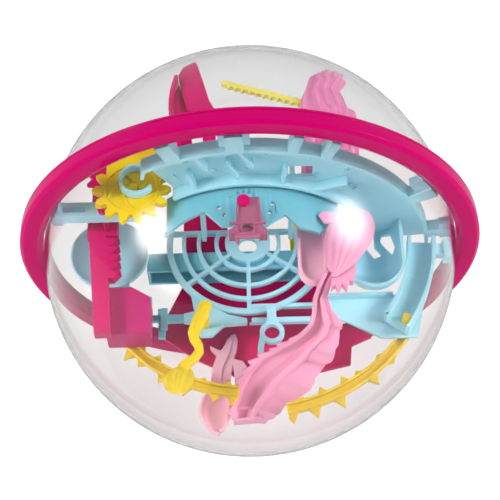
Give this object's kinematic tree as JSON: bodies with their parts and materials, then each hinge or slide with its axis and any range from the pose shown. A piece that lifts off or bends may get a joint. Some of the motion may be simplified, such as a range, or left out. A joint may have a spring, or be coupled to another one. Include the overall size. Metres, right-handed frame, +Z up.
{
  "type": "3d maze ball puzzle",
  "caption": "Clear two-part ball held by a wide magenta grip ring, with coloured track pieces inside that a steel ball is tilted through; a small cup swings on a pin.",
  "frame": {"origin": "on the table, under the middle of the object's bounding box, which is the point where the clear ball touches the table", "axes": "+Z up off the table; X along the ring's level diameter; -Y is the side that the ring's raised edge and the front of the tracks face. The ring's own axis leans 61 degrees from +Z towards +Y"},
  "size_m": [0.2, 0.1794, 0.1794],
  "materials": {
    "magenta": "glossy moulded plastic",
    "crimson": "satin moulded plastic",
    "sky": "satin moulded plastic",
    "teal": "satin moulded plastic",
    "yellow": "satin moulded plastic",
    "pink": "satin moulded plastic",
    "rose_clear": "translucent moulded plastic",
    "clear": "clear polished plastic",
    "steel": "polished steel"
  },
  "bodies": {
    "maze": {"ring_lower": "magenta", "ring_upper": "magenta", "dome_lower": "clear", "dome_upper": "clear", "main_deck": "sky", "bulkhead": "teal", "mount_tabs": "sky", "left_arm": "sky", "ring_grid": "sky", "grid_rails": "sky", "bridge_struts": "sky", "cross_gutter": "teal", "left_dish": "sky", "dish_bracket": "teal", "right_bowl": "sky", "right_channel": "sky", "right_plate": "sky", "grid_bracket": "sky", "hook_lugs": "teal", "hoop": "sky", "toothed_post": "magenta", "post_box": "crimson", "base_plate": "crimson", "back_plate": "crimson", "magenta_arch": "magenta", "star_wheel": "magenta", "sun_gear": "yellow", "gear_scroll": "sky", "yellow_strip": "yellow", "spoon_track": "yellow", "left_thorn_track": "yellow", "right_thorn_track": "yellow", "feather_rod": "yellow", "amber_post": "yellow", "track_peg": "yellow", "pink_slide": "pink", "pink_pocket": "pink", "side_pocket": "pink", "pink_fork": "pink", "ridged_shell": "pink", "cup_pin": "magenta", "arm_pin": "magenta"},
    "cup": {"swing_cup": "rose_clear"},
    "ball": {"steel_ball": "steel"}
  },
  "joints": [
    {"name": "cup_swing", "type": "hinge", "parent": "maze", "child": "cup", "pos_m": [-0.0021, -0.03675, 0.13226], "axis": [0, 0.4818, -0.8763], "range_deg": [-40, 40]},
    {"name": "ball_roll", "type": "slide", "parent": "maze", "child": "ball", "axis": [1, 0, 0], "range_m": [-0.0765, 0.001]}
  ]
}
